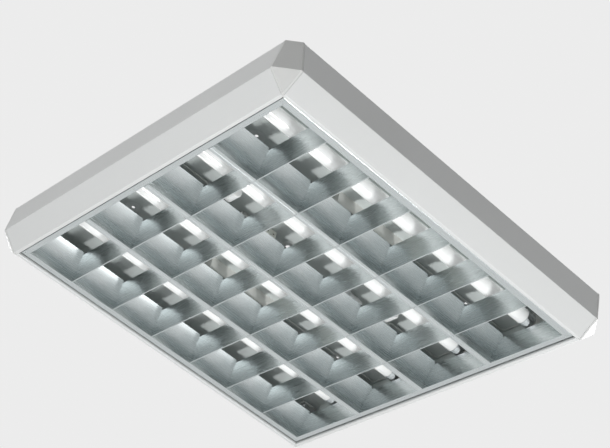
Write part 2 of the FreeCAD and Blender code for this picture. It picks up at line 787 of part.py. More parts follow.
# ================================================================ gear
def ballast(row):
    """Wound ballast on a slotted plate, with its terminals at one end."""
    half = ballast_length / 2
    width = ballast_width / 2
    low = tray_under - ballast_height
    bevel = 3.0
    plate_half = half + ballast_foot
    plate = box(-plate_half, plate_half, row - width, row + width, tray_under - ballast_plate,
                tray_under)
    for side in (-1, 1):
        centre = side * (half + ballast_foot / 2)
        slot = box(centre - screw_width / 2, centre + screw_width / 2, row - screw_width,
                   row + screw_width, tray_under - ballast_plate, tray_under)
        plate = plate.cut(slot)
    core_end = half - terminal_length
    outline = sharp([(row - width, tray_under - ballast_plate), (row - width, low + bevel),
                     (row - width + bevel, low), (row + width - bevel, low),
                     (row + width, low + bevel), (row + width, tray_under - ballast_plate)])
    core = along_x(outline, -half, core_end)
    clamp_height = ballast_height * 0.6
    clamp = box(core_end, half, row - width + bevel, row + width - bevel,
                tray_under - clamp_height, tray_under - ballast_plate)
    ways = 5
    for i in range(ways):
        y = row + (i - (ways - 1) / 2) * (ballast_width - 2 * bevel) / ways
        entry = rod(1.4, Vector(half - 8, y, tray_under - clamp_height / 2),
                    Vector(half, y, tray_under - clamp_height / 2))
        clamp = clamp.cut(entry)
    return fused([plate, core, clamp])


def capacitor():
    """Round can along X with a moulded end."""
    radius = capacitor_width / 2
    height = tray_under - clip_sheet - radius
    start = capacitor_x - capacitor_length / 2
    end = start + capacitor_length
    corners = [(start, 0), (start, radius - 1.5), (start + 1.5, radius), (end - 7, radius),
               (end - 6, radius - 1.5), (end, radius - 1.5), (end, 0)]
    wire = closed_wire(sharp(corners), lambda a, b: Vector(a, 0, height + b))
    return Part.Face(wire).revolve(Vector(0, 0, height), Vector(1, 0, 0), 360)


def capacitor_clip():
    """Strap under the can, closed on the tray by two feet."""
    radius = capacitor_width / 2 + fit_gap / 2
    height = tray_under - clip_sheet - capacitor_width / 2
    outer = radius + clip_sheet
    x0, x1 = capacitor_x - clip_width / 2, capacitor_x + clip_width / 2
    foot = outer + 9
    shape = rod(outer, Vector(x0, 0, height), Vector(x1, 0, height))
    shape = shape.fuse(box(x0, x1, -outer, outer, height, tray_under))
    shape = shape.fuse(box(x0, x1, -foot, foot, tray_under - clip_sheet, tray_under))
    shape = shape.common(box(x0, x1, -foot, foot, height - outer, tray_under))
    shape = shape.cut(rod(radius, Vector(x0, 0, height), Vector(x1, 0, height)))
    shape = shape.cut(box(x0, x1, -radius, radius, height, tray_under - clip_sheet))
    return shape.removeSplitter()


def starter_bracket(x):
    """Upright plate under the tray that carries two starter holders."""
    half = socket_width / 2
    low = -starter_drop - socket_height / 2
    path = [(-starter_foot, tray_under), (wall_sheet / 2, tray_under), (wall_sheet / 2, low)]
    return along_x(sheet_outline(path, -wall_sheet, wall_bend), x - half, x + half)


def starter_socket_body(x):
    """Holder on the +Y face of the plate, with two curved slots for the starter's pins."""
    half = socket_width / 2
    start = wall_sheet / 2
    end = start + starter_socket
    low = -starter_drop - socket_height / 2
    high = tray_under - wall_sheet - wall_bend
    body = box(x - half, x + half, start, end, low, high)
    depth = starter_pin_length + 1
    ring_radius = starter_pin_spacing / 2
    width = starter_pin / 2 + rotor_gap
    margin = math.degrees(math.asin(width / ring_radius))
    centre = Vector(x, end - depth, -starter_drop)
    axis = Vector(0, 1, 0)
    for locked in (90, 270):
        sweep = starter_turn + 2 * margin
        outer = Part.makeCylinder(ring_radius + width, depth, centre, axis, sweep)
        inner = Part.makeCylinder(ring_radius - width, depth, centre, axis, sweep)
        sector = turned(outer.cut(inner), locked - margin, axis, centre)
        body = body.cut(sector)
    return body


def starter(x, side):
    """Plug-in starter: canister, base and two pins, on one side of the plate."""
    radius = starter_width / 2
    base = wall_sheet / 2 + starter_socket + rotor_gap
    end = base + starter_length
    corners = [(base, 0), (base, radius - 0.6), (base + 3, radius - 0.6), (base + 3, radius),
               (end - 1.5, radius), (end, radius - 1.5), (end, 0)]
    wire = closed_wire(sharp(corners), lambda a, b: Vector(x, a, -starter_drop + b))
    axis_point = Vector(x, 0, -starter_drop)
    can = Part.Face(wire).revolve(axis_point, Vector(0, 1, 0), 360)
    shapes = [can]
    for pin_side in (-1, 1):
        px = x + pin_side * starter_pin_spacing / 2
        shapes.append(rod(starter_pin / 2, Vector(px, base - starter_pin_length, -starter_drop),
                          Vector(px, base + 1, -starter_drop)))
    shape = fused(shapes)
    return shape if side > 0 else turned(shape, 180, Vector(0, 0, 1), axis_point)


def terminal_block():
    """Three-way block for the supply, with wire entries and screws' wells."""
    ways = 3
    x0 = block_x - block_length / 2
    low = tray_under - block_height
    body = box(x0, x0 + block_length, -block_width / 2, block_width / 2, low, tray_under)
    pitch = block_length / ways
    for i in range(ways):
        x = x0 + pitch * (i + 0.5)
        well = rod(2.4, Vector(x, -block_width / 4, low), Vector(x, -block_width / 4, low + 8))
        other = rod(2.4, Vector(x, block_width / 4, low), Vector(x, block_width / 4, low + 8))
        entry = rod(1.8, Vector(x, -block_width, tray_under - block_height * 0.45),
                    Vector(x, block_width, tray_under - block_height * 0.45))
        body = body.cut(well).cut(other).cut(entry)
        if i:
            gap = box(x - pitch / 2 - 0.6, x - pitch / 2 + 0.6, -block_width / 2, block_width / 2,
                      low, low + 5)
            body = body.cut(gap)
    return body


# ================================================================ assembly
def corner_copies(shape):
    """The shape at the four corners."""
    return [turned(shape, angle) for angle in (0, 90, 180, 270)]


def assemble():
    """Every piece by its node name."""
    nodes = {"back_tray": back_tray(), "cable_grommet": cable_grommet()}
    wall = side_wall()
    for name, angle in (("side_wall_rear", 0), ("side_wall_left", 90),
                        ("side_wall_front", 180), ("side_wall_right", 270)):
        nodes[name] = turned(wall, angle)
    for i, cap in enumerate(corner_copies(corner_cap()), 1):
        nodes["corner_cap_%d" % i] = cap
    screw = pan_screw(cap_screw_place(), tab_wall, wall_sheet)
    nodes["corner_screws"] = group(corner_copies(screw))
    bracket = holder_bracket()
    nodes["lampholder_bracket_right"] = bracket
    nodes["lampholder_bracket_left"] = mirrored(bracket, Vector(1, 0, 0))
    for i, row in enumerate(lamp_rows, 1):
        nodes["lampholders_%d" % i] = both_ends(lampholder(row))
        nodes["lamp_tube_%d" % i] = lamp_glass(row)
        nodes["lamp_end_caps_%d" % i] = both_ends(lamp_end_cap(row))
        nodes["lampholder_rotors_%d" % i] = both_ends(rotor(row))
    nodes["ballast_front"] = ballast(divider_rows[0])
    nodes["ballast_rear"] = ballast(divider_rows[-1])
    nodes["capacitor"] = capacitor()
    nodes["capacitor_clip"] = capacitor_clip()
    nodes["terminal_block"] = terminal_block()
    nodes["starter_brackets"] = group([starter_bracket(x) for x in (-starter_x, starter_x)])
    nodes["starter_holders"] = group([turned(starter_socket_body(x), angle, Vector(0, 0, 1),
                                             Vector(x, 0, 0))
                                      for x in (-starter_x, starter_x) for angle in (0, 180)])
    number = 0
    for x in (-starter_x, starter_x):
        for side in (-1, 1):
            number += 1
            nodes["starter_%d" % number] = starter(x, side)
    reflector = side_reflector()
    nodes["louvre_side_rear"] = reflector
    nodes["louvre_side_front"] = turned(reflector, 180)
    channel = end_channel()
    nodes["louvre_end_right"] = channel
    nodes["louvre_end_left"] = mirrored(channel, Vector(1, 0, 0))
    for i, row in enumerate(divider_rows, 1):
        nodes["louvre_divider_%d" % i] = divider(row)
    for i, x in enumerate(blade_places, 1):
        nodes["cross_blade_%d" % i] = cross_blade(x)
    nodes["hinge_lugs"] = group([lug for x in hinge_places for lug in hinge_lugs(x)])
    nodes["hinge_pins"] = group([hinge_pin(x) for x in hinge_places])
    nodes["hinge_arms"] = group([hinge_arm(x) for x in hinge_places])
    nodes["spring_catches"] = group([spring_catch(x) for x in hinge_places])
    return nodes


os.makedirs("parts", exist_ok=True)
for name, shape in assemble().items():
    shape.exportStep("parts/%s.step" % name)
    print("%-26s %2d solid(s) %10.0f mm3 %s" % (name, len(shape.Solids), shape.Volume,
                                                 "" if shape.isValid() else "NOT VALID"))
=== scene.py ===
"""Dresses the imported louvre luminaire: finishes, small fittings, stage, lights and camera."""

import math

import bmesh
import bpy
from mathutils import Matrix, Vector


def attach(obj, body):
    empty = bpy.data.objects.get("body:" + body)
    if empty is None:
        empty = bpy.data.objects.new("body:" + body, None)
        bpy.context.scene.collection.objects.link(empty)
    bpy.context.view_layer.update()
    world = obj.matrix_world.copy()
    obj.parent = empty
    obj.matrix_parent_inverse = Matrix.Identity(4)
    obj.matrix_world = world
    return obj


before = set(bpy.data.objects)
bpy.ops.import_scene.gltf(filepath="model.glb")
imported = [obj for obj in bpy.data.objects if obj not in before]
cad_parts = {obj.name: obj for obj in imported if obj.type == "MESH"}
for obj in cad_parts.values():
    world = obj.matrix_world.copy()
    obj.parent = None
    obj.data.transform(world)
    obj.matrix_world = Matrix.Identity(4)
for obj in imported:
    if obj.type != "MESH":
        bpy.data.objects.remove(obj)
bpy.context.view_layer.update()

bl_info = {
    "name": "Louvre luminaire",
    "version": (1, 0, 0),
    "blender": (4, 2, 0),
    "location": "View3D > Sidebar > Luminaire",
    "description": "Finishes and fittings for a square ceiling luminaire with a parabolic louvre",
    "category": "Object",
}

MM = 0.001
TRAY_UNDER = -1.6 * MM          # underside of the tray's sheet
RIB_UNDER = -3.6 * MM           # underside of the tray's ribs
PLATE_UNDER = -2.8 * MM         # underside of the ballasts' slotted plates
LAMP_ROWS = 71 * MM, 213 * MM   # distances of the inner and outer lamps from the middle
HOLDER_SIDE = 12.5 * MM         # half of a lampholder's width
HOLDER_PLANE = 306.5 * MM       # distance of the lampholders from the middle
STARTER_END = 182.5 * MM        # distance of the starter holders' outer faces from the middle
BALLAST_ROW = 142 * MM          # distance of the ballasts from the middle
BALLAST_END = 75 * MM           # half of a ballast's length
BALLAST_SCREW = 81 * MM         # distance of a ballast's screws from its middle
BLOCK_END = -91 * MM            # end of the terminal block that the wires leave
EARTH_X = -118 * MM             # earth terminal, beside the terminal block
EARTH_PLATE = 11 * MM           # side of its square plate
EARTH_SHEET = 1.0 * MM
EARTH_LIP = 1.6 * MM, 1.2 * MM  # reach and depth of the plate's turned ends

GEAR_EXIT = -9 * MM             # height at which wires leave the ballasts and starter holders
BLOCK_EXIT = -8 * MM            # and the terminal block
WIRE_BEND = 6 * MM              # how much of each run a rounded corner takes
BALLAST_LEAD = 16 * MM          # straight part of a wire at a ballast
STARTER_LEAD = 14 * MM          # and at a starter holder
FEED_LANE = 5 * MM              # distance of a ballast's two wires from its middle line
STARTER_LANE = 5 * MM           # distance of the starters' wires from the middle
SUPPLY_LANE = 6 * MM            # distance of the supply wires from the middle, at the block
SUPPLY_TURN = -103 * MM         # where the supply wires cross the tray
SUPPLY_LOW = 92 * MM            # end of their slope, before the rib
RIB_SPAN = 101 * MM, 112 * MM   # stretch in which they pass below the rib
WIRE_CLEARANCE = 0.1 * MM


# ---------------------------------------------------------------- settings
class LuminaireSettings(bpy.types.PropertyGroup):
    """Sizes and colours that can be changed in the sidebar."""

    paint: bpy.props.FloatVectorProperty(
        name="Body paint", description="Powder coat of the side walls", subtype="COLOR", size=3,
        default=(0.800, 0.815, 0.810), min=0, max=1)
    cap: bpy.props.FloatVectorProperty(
        name="Corner caps", description="Moulded plastic of the corner caps", subtype="COLOR",
        size=3, default=(0.770, 0.785, 0.780), min=0, max=1)
    # The tray colour is darker than the body paint. It is painted shade for the inside of the
    # housing seen through the louvre, and the brackets share it.
    tray: bpy.props.FloatVectorProperty(
        name="Tray paint", description="Paint of the back tray and brackets", subtype="COLOR",
        size=3, default=(0.620, 0.662, 0.650), min=0, max=1)
    louvre: bpy.props.FloatVectorProperty(
        name="Louvre metal", description="Anodised aluminium of the louvre", subtype="COLOR",
        size=3, default=(0.575, 0.615, 0.620), min=0, max=1)
    louvre_roughness: bpy.props.FloatProperty(
        name="Louvre roughness", description="Blur of the reflections in the louvre",
        default=0.27, min=0, max=1)
    lamp: bpy.props.FloatVectorProperty(
        name="Lamp coating", description="Phosphor inside the glass tubes", subtype="COLOR",
        size=3, default=(0.840, 0.850, 0.840), min=0, max=1)
    # The lamp glow is painted light. The tubes are not switched on, and the glow only brightens
    # their coating.
    lamp_painted_glow: bpy.props.FloatProperty(
        name="Lamp glow", description="Light that the coating itself gives off", default=0.27,
        min=0, max=1)
    wire_width: bpy.props.FloatProperty(
        name="Wire width", description="Outside diameter of the inner wiring",
        default=2.2 * MM, min=1 * MM, max=5 * MM, unit="LENGTH")
    key_power: bpy.props.FloatProperty(
        name="Key light", description="Power of the light below the louvre", default=39.0, min=0,
        unit="POWER")
    side_power: bpy.props.FloatProperty(
        name="Side light", description="Power of the light beside the left wall", default=27.5,
        min=0, unit="POWER")
    back_power: bpy.props.FloatProperty(
        name="Back lights", description="Power of the lights above the tray and behind the body",
        default=22.0, min=0, unit="POWER")
    backdrop_level: bpy.props.FloatProperty(
        name="Backdrop level", description="Brightness of the backdrop where it is seen",
        default=0.84, min=0, max=1)
    floor_glow: bpy.props.FloatProperty(
        name="Floor glow", description="Brightness added to the floor where it is seen",
        default=0.70, min=0, max=1)
    room_level: bpy.props.FloatProperty(
        name="Room level", description="Strength of the even light from all round",
        default=0.15, min=0, max=2)


def settings():
    """The scene's settings."""
    return bpy.context.scene.luminaire


# ---------------------------------------------------------------- shader maths
class Socket:
    """A shader value that takes part in Python sums."""

    def __init__(self, shader, out):
        self.shader = shader
        self.out = out

    def _math(self, operation, other=None):
        values = [self, other] if other is not None else [self]
        return self.shader.node("ShaderNodeMath", {"operation": operation},
                                dict(enumerate(values)))

    def __add__(self, other):
        return self._math("ADD", other)

    __radd__ = __add__

    def __sub__(self, other):
        return self._math("SUBTRACT", other)

    def __mul__(self, other):
        return self._math("MULTIPLY", other)

    def __truediv__(self, other):
        return self._math("DIVIDE", other)

    def clamp(self):
        """The value held between 0 and 1."""
        return self.shader.node("ShaderNodeClamp", {}, {"Value": self})

    def absolute(self):
        """The value without its sign."""
        return self._math("ABSOLUTE")

    def above(self, edge, softness):
        """0 below edge, 1 above it, with a soft step."""
        return ((self - (edge - softness / 2)) / softness).clamp()


class Shader:
    """Node tree of one finish."""

    def __init__(self, name, tree=None):
        if tree is None:
            self.material = bpy.data.materials.new(name)
            self.material.use_nodes = True
            tree = self.material.node_tree
        self.tree = tree
        self.tree.nodes.clear()

    def node(self, kind, options, inputs, output=0):
        """One node: its options are set first, then the values or links of its sockets."""
        made = self.tree.nodes.new(kind)
        for key, value in options.items():
            if key == "stops":
                ramp = made.color_ramp.elements
                while len(ramp) < len(value):
                    ramp.new(0.5)
                for element, (place, colour) in zip(ramp, value):
                    element.position = place
                    element.color = (*colour, 1)
            else:
                setattr(made, key, value)
        for key, value in inputs.items():
            self.feed(made, key, value)
        return Socket(self, made.outputs[output])

    def feed(self, made, key, value):
        """A value or a link into one socket of a node."""
        if value is None:
            return
        socket = made.inputs[key]
        if isinstance(value, Socket):
            self.tree.links.new(value.out, socket)
        elif isinstance(value, (tuple, list)) and len(value) == 3 and socket.type == "RGBA":
            socket.default_value = (*value, 1)
        else:
            socket.default_value = value

    def place(self):
        """The point on the piece, in metres."""
        return self.node("ShaderNodeTexCoord", {}, {}, "Object")

    def mapped(self, scale):
        """The point on the piece, stretched by a scale for each axis."""
        return self.node("ShaderNodeMapping", {}, {"Vector": self.place(), "Scale": scale})

    def noise(self, scale, detail=2.0, vector=None, roughness=0.5):
        """Soft noise between 0 and 1."""
        return self.node("ShaderNodeTexNoise", {},
                         {"Vector": vector or self.place(), "Scale": scale, "Detail": detail,
                          "Roughness": roughness})

    def axis(self, letter):
        """One coordinate of the point on the piece, in metres."""
        return self.node("ShaderNodeSeparateXYZ", {}, {0: self.place()}, letter)

    def mix(self, share, first, second):
        """Blend of two colours."""
        made = self.tree.nodes.new("ShaderNodeMix")
        made.data_type = "RGBA"
        self.feed(made, 0, share)
        self.feed(made, 6, first)
        self.feed(made, 7, second)
        return Socket(self, made.outputs[2])

    def bump(self, height, strength, distance):
        """Surface relief."""
        return self.node("ShaderNodeBump", {},
                         {"Height": height, "Strength": strength, "Distance": distance})

    def finish(self, **inputs):
        """Principled surface with the given sockets, joined to the output."""
        made = self.tree.nodes.new("ShaderNodeBsdfPrincipled")
        for key, value in inputs.items():
            self.feed(made, key.replace("_", " "), value)
        output = self.tree.nodes.new("ShaderNodeOutputMaterial")
        self.tree.links.new(made.outputs[0], output.inputs["Surface"])
        return self.material


# ---------------------------------------------------------------- finishes
def powder_coat(name, colour, roughness=0.42):
    """Powder coat: fine orange peel, faint dust and a little unevenness in the gloss."""
    shader = Shader(name)
    peel = shader.noise(900, 2)
    cloud = shader.noise(7, 3)
    dull = tuple(c * 0.955 for c in colour)
    return shader.finish(
        Base_Color=shader.mix(cloud, colour, dull),
        Roughness=roughness + (cloud - 0.5) * 0.12,
        Coat_Weight=0.12, Coat_Roughness=0.25,
        Normal=shader.bump(peel, 0.12, 0.0002))


def tray_coat(name, colour, top):
    """Powder coat of the gear tray: its given colour is painted shade on the underside, and the side
    that lies on the ceiling takes the brighter body paint.
    """
    shader = Shader(name)
    peel = shader.noise(900, 2)
    cloud = shader.noise(7, 3)
    edge_blend = 0.4 * MM
    # Below the middle of the sheet the darker tray colour is painted shade; above it the body paint
    # is used.
    unshaded_top_mask = shader.axis("Z").above(TRAY_UNDER / 2, edge_blend)
    dull = tuple(c * 0.955 for c in colour)
    return shader.finish(
        Base_Color=shader.mix(unshaded_top_mask, shader.mix(cloud, colour, dull), top),
        Roughness=0.5 + (cloud - 0.5) * 0.12,
        Coat_Weight=0.12, Coat_Roughness=0.25,
        Normal=shader.bump(peel, 0.12, 0.0002))


def moulded(name, colour, roughness=0.38, grain=1400):
    """Moulded plastic with a fine spark-eroded grain."""
    shader = Shader(name)
    fine = shader.noise(grain, 1)
    cloud = shader.noise(18, 2)
    warm = (colour[0] * 0.97, colour[1] * 0.96, colour[2] * 0.94)
    return shader.finish(
        Base_Color=shader.mix(cloud, colour, warm),
        Roughness=roughness + (fine - 0.5) * 0.16,
        IOR=1.5,
        Normal=shader.bump(fine, 0.10, 0.0001))


def satin_mirror(name, colour, roughness, along):
    """Anodised satin aluminium, with faint rolling lines along one axis."""
    shader = Shader(name)
    stretch = {"X": (6, 420, 420), "Y": (420, 6, 420)}[along]
    lines = shader.noise(3.0, 3, shader.mapped(stretch), 0.6)
    cloud = shader.noise(9, 2)
    dim = tuple(c * 0.93 for c in colour)
    return shader.finish(
        Base_Color=shader.mix(cloud, colour, dim),
        Metallic=1.0,
        Roughness=roughness + (lines - 0.5) * 0.10 + (cloud - 0.5) * 0.03,
        Normal=shader.bump(lines, 0.02, 0.0001))


def phosphor_glass(name, colour, glow):
    """White coated tube under clear glass, a little greyer near the cathodes, with a faint painted
    glow that brightens the unlit coating.
    """
    shader = Shader(name)
    grey_start, grey_blend = 262 * MM, 30 * MM
    grey = shader.axis("X").absolute().above(grey_start, grey_blend)
    speckle = shader.noise(260, 2)
    worn = tuple(c * 0.86 for c in colour)
    # Painted glow: the tubes are not switched on, and this weak emission brightens their coating as
    # if more light fell on it.
    painted_glow_colour = tuple(c * glow for c in colour)
    return shader.finish(
        Base_Color=shader.mix(grey * 0.7 + (speckle - 0.5) * 0.05, colour, worn),
        Emission_Color=shader.mix(grey * 0.7, painted_glow_colour, (0, 0, 0)), Emission_Strength=1.0,
        Roughness=0.22 + (speckle - 0.5) * 0.05,
        Coat_Weight=0.6, Coat_Roughness=0.04)


def plated(name, colour, roughness=0.34):
    """Zinc-plated steel with a soft spangle."""
    shader = Shader(name)
    cells = shader.node("ShaderNodeTexVoronoi", {}, {"Vector": shader.place(), "Scale": 160})
    fine = shader.noise(700, 2)
    dark = tuple(c * 0.82 for c in colour)
    return shader.finish(
        Base_Color=shader.mix(cells * 0.8, colour, dark), Metallic=1.0,
        Roughness=roughness + (fine - 0.5) * 0.2,
        Normal=shader.bump(fine, 0.06, 0.0001))


def rubber_finish(name, colour):
    """Matt rubber."""
    shader = Shader(name)
    fine = shader.noise(500, 2)
    pale = tuple(c + 0.03 for c in colour)
    return shader.finish(Base_Color=shader.mix(fine, colour, pale),
                         Roughness=0.7 + (fine - 0.5) * 0.2,
                         Normal=shader.bump(fine, 0.2, 0.0002))


def seen_directly(shader):
    """1 for what the camera, a reflection or glass shows, 0 for light that falls on a surface."""
    rays = shader.tree.nodes.new("ShaderNodeLightPath")
    camera, glossy, through = [Socket(shader, rays.outputs[name]) for name in
                               ("Is Camera Ray", "Is Glossy Ray", "Is Transmission Ray")]
    return (camera + glossy + through).clamp()


def dress(names, material):
    """Gives CAD nodes a finish in all their slots."""
    for name in names:
        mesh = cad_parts[name].data
        if not mesh.materials:
            mesh.materials.append(material)
        for i in range(len(mesh.materials)):
            mesh.materials[i] = material


def nodes_named(*starts):
    """CAD nodes whose names begin with any of the given words."""
    return [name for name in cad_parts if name.startswith(starts)]


# ---------------------------------------------------------------- modelling helpers
def fresh():
    """Nothing selected and object mode, before a piece is made."""
    if bpy.context.object and bpy.context.object.mode != "OBJECT":
        bpy.ops.object.mode_set(mode="OBJECT")
    bpy.ops.object.select_all(action="DESELECT")


def settle(piece, body, material, smooth=35):
    """Puts a finished piece at the origin, gives it its finish and lets it ride on a body."""
    fresh()
    piece.select_set(True)
    bpy.context.view_layer.objects.active = piece
    bpy.ops.object.transform_apply(location=True, rotation=True, scale=True)
    bpy.ops.object.shade_smooth_by_angle(angle=math.radians(smooth))
    piece.data.materials.clear()
    piece.data.materials.append(material)
    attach(piece, body)
    return piece


def editing(piece):
    """Mesh edit mode on one piece, with nothing selected."""
    bpy.context.view_layer.objects.active = piece
    bpy.ops.object.mode_set(mode="EDIT")
    bpy.ops.mesh.select_mode(type="FACE")
    bpy.ops.mesh.select_all(action="DESELECT")


def choose(piece, test):
    """Selects the faces that pass a test, and raises when none does."""
    mesh = bmesh.from_edit_mesh(piece.data)
    mesh.normal_update()
    found = 0
    for face in mesh.faces:
        face.select_set(bool(test(face)))
        found += face.select
    if not found:
        raise RuntimeError("no face to work on in " + piece.name)
    mesh.select_flush_mode()
    bmesh.update_edit_mesh(piece.data)


def copied(piece, name, shift):
    """A copy with its own mesh, moved by a shift."""
    fresh()
    piece.select_set(True)
    bpy.context.view_layer.objects.active = piece
    bpy.ops.object.duplicate(linked=False)
    made = bpy.context.object
    made.name = name
    bpy.ops.transform.translate(value=shift)
    return made


def round_edges(piece, width, angle=30):
    """Small rounds on the edges that are sharper than an angle."""
    modifier = piece.modifiers.new("edge", "BEVEL")
    modifier.width = width
    modifier.segments = 2
    modifier.angle_limit = math.radians(angle)
    bpy.ops.object.modifier_apply(modifier=modifier.name)


def screw_head(name, centre, radius, height):
    """Pan head seen from below, with a cross recess; centre is on the face that it clamps."""
    fresh()
    x, y, z = centre
    bpy.ops.mesh.primitive_cylinder_add(vertices=32, radius=radius, depth=height,
                                        location=(x, y, z - height / 2))
    head = bpy.context.object
    head.name = name
    bpy.ops.object.transform_apply(location=True, rotation=True, scale=True)
    editing(head)
    choose(head, lambda face: face.normal.z < -0.9)
    bpy.ops.mesh.inset(thickness=radius * 0.22, depth=0)
    bpy.ops.transform.translate(value=(0, 0, -height * 0.16))
    bpy.ops.mesh.inset(thickness=radius * 0.16, depth=0)
    arm = radius * 0.13
    inner = radius * 0.6

    def from_middle(face):
        return face.calc_center_median().xy - Vector((x, y))

    def in_disc(face):
        return face.normal.z < -0.9 and from_middle(face).length < inner

    def in_cross(face):
        return in_disc(face) and min(abs(value) for value in from_middle(face)) < arm

    for place, normal in (((x - arm, y, z), (1, 0, 0)), ((x + arm, y, z), (1, 0, 0)),
                          ((x, y - arm, z), (0, 1, 0)), ((x, y + arm, z), (0, 1, 0))):
        choose(head, in_disc)
        bpy.ops.mesh.bisect(plane_co=place, plane_no=normal)
    choose(head, in_cross)
    bpy.ops.mesh.extrude_region_move(TRANSFORM_OT_translate={"value": (0, 0, height * 0.45)})
    bpy.ops.object.mode_set(mode="OBJECT")
    round_edges(head, radius * 0.04, 50)
    return head


def wire(name, corners, width):
    """Insulated wire along straight runs, with rounded corners."""
    fresh()
    runs = [Vector(b) - Vector(a) for a, b in zip(corners, corners[1:])]
    bpy.ops.mesh.primitive_plane_add(size=width, location=corners[0])
    made = bpy.context.object
    made.name = name
    bpy.ops.object.transform_apply(location=True, rotation=True, scale=True)
    editing(made)
    bpy.ops.mesh.select_mode(type="VERT")
    bpy.ops.mesh.select_all(action="SELECT")
    bpy.ops.mesh.merge(type="CENTER")
    for run in runs:
        bpy.ops.mesh.extrude_region_move(TRANSFORM_OT_translate={"value": run})
    bpy.ops.mesh.select_all(action="SELECT")
    bpy.ops.mesh.bevel(offset=WIRE_BEND, segments=6, affect="VERTICES", profile=0.5)
    bpy.ops.object.mode_set(mode="OBJECT")
    bpy.ops.object.convert(target="CURVE")
    made.data.bevel_depth = width / 2
    made.data.bevel_resolution = 3
    made.data.use_fill_caps = True
    bpy.ops.object.convert(target="MESH")
    if not made.data.polygons:
        raise RuntimeError("the wire has no surface: " + name)
    return made


# ---------------------------------------------------------------- operators
class FinishNodes(bpy.types.Operator):
    """Gives each CAD piece its finish."""

    bl_idname = "luminaire.finish_nodes"
    bl_label = "Finish the body, louvre and lamps"

    def execute(self, context):
        s = settings()
        dress(nodes_named("side_wall"), powder_coat("body_paint", tuple(s.paint)))
        dress(nodes_named("corner_cap"), moulded("cap_plastic", tuple(s.cap)))
        dress(["back_tray"], tray_coat("tray_coat", tuple(s.tray), tuple(s.paint)))
        # The brackets take the tray's darker colour, which is painted shade.
        dress(nodes_named("lampholder_bracket", "starter_brackets"),
              powder_coat("bracket_paint", tuple(s.tray), 0.5))
        rough = s.louvre_roughness
        lengthways = satin_mirror("louvre_metal_lengthways", tuple(s.louvre), rough, "X")
        crossways = satin_mirror("louvre_metal_crossways", tuple(s.louvre), rough, "Y")
        dress(nodes_named("louvre_side", "louvre_divider"), lengthways)
        dress(nodes_named("louvre_end", "cross_blade"), crossways)
        dress(nodes_named("lamp_tube"), phosphor_glass("lamp_coating", tuple(s.lamp), s.lamp_painted_glow))
        dress(nodes_named("lamp_end_caps"), plated("lamp_cap_metal", (0.78, 0.79, 0.80), 0.25))
        dress(nodes_named("lampholders", "lampholder_rotors", "starter_holders"),
              moulded("holder_plastic", (0.82, 0.82, 0.80)))
        dress(nodes_named("starter_1", "starter_2", "starter_3", "starter_4"),
              moulded("starter_case", (0.83, 0.84, 0.84), 0.3))
        dress(nodes_named("ballast"), powder_coat("ballast_enamel", (0.72, 0.72, 0.69), 0.5))
        dress(["capacitor"], moulded("capacitor_case", (0.74, 0.75, 0.76), 0.3))
        dress(["terminal_block"], moulded("block_plastic", (0.83, 0.83, 0.78)))
        dress(nodes_named("corner_screws", "capacitor_clip", "hinge", "spring"),
              plated("plated_steel", (0.66, 0.67, 0.68)))
        dress(["cable_grommet"], rubber_finish("grommet_rubber", (0.62, 0.63, 0.62)))
        return {"FINISHED"}


class FitBallastScrews(bpy.types.Operator):
    """Fits a pan-head screw in each slot of the ballasts' plates."""

    bl_idname = "luminaire.ballast_screws"
    bl_label = "Fit the ballast screws"

    def execute(self, context):
        finish = plated("screw_zinc", (0.66, 0.67, 0.66), 0.3)
        first = screw_head("ballast_screw_1", (BALLAST_SCREW, BALLAST_ROW, PLATE_UNDER), 3.6 * MM,
                           2.4 * MM)
        screws = [first,
                  copied(first, "ballast_screw_2", (-2 * BALLAST_SCREW, 0, 0)),
                  copied(first, "ballast_screw_3", (0, -2 * BALLAST_ROW, 0)),
                  copied(first, "ballast_screw_4", (-2 * BALLAST_SCREW, -2 * BALLAST_ROW, 0))]
        for screw in screws:
            settle(screw, "housing", finish)
        return {"FINISHED"}


class FitEarthTerminal(bpy.types.Operator):
    """Fits the earth screw with its square clamping plate beside the terminal block."""

    bl_idname = "luminaire.earth_terminal"
    bl_label = "Fit the earth terminal"

    def execute(self, context):
        fresh()
        reach, depth = EARTH_LIP
        bpy.ops.mesh.primitive_cube_add(size=1, location=(EARTH_X, 0, TRAY_UNDER - EARTH_SHEET / 2))
        plate = bpy.context.object
        plate.name = "earth_plate"
        bpy.ops.transform.resize(value=(EARTH_PLATE, EARTH_PLATE, EARTH_SHEET))
        bpy.ops.object.transform_apply(location=True, rotation=True, scale=True)
        editing(plate)
        for end in (-1, 1):
            choose(plate, lambda face: face.normal.x * end > 0.9)
            bpy.ops.mesh.extrude_region_move(
                TRANSFORM_OT_translate={"value": (end * reach, 0, -depth)})
        bpy.ops.object.mode_set(mode="OBJECT")
        round_edges(plate, 0.2 * MM)
        plate_finish = plated("earth_plate_zinc", (0.70, 0.71, 0.70), 0.35)
        settle(plate, "housing", plate_finish)
        screw = screw_head("earth_screw", (EARTH_X, 0, TRAY_UNDER - EARTH_SHEET), 3.8 * MM, 2.6 * MM)
        screw_finish = plated("earth_screw_zinc", (0.66, 0.67, 0.66), 0.3)
        settle(screw, "housing", screw_finish)
        return {"FINISHED"}


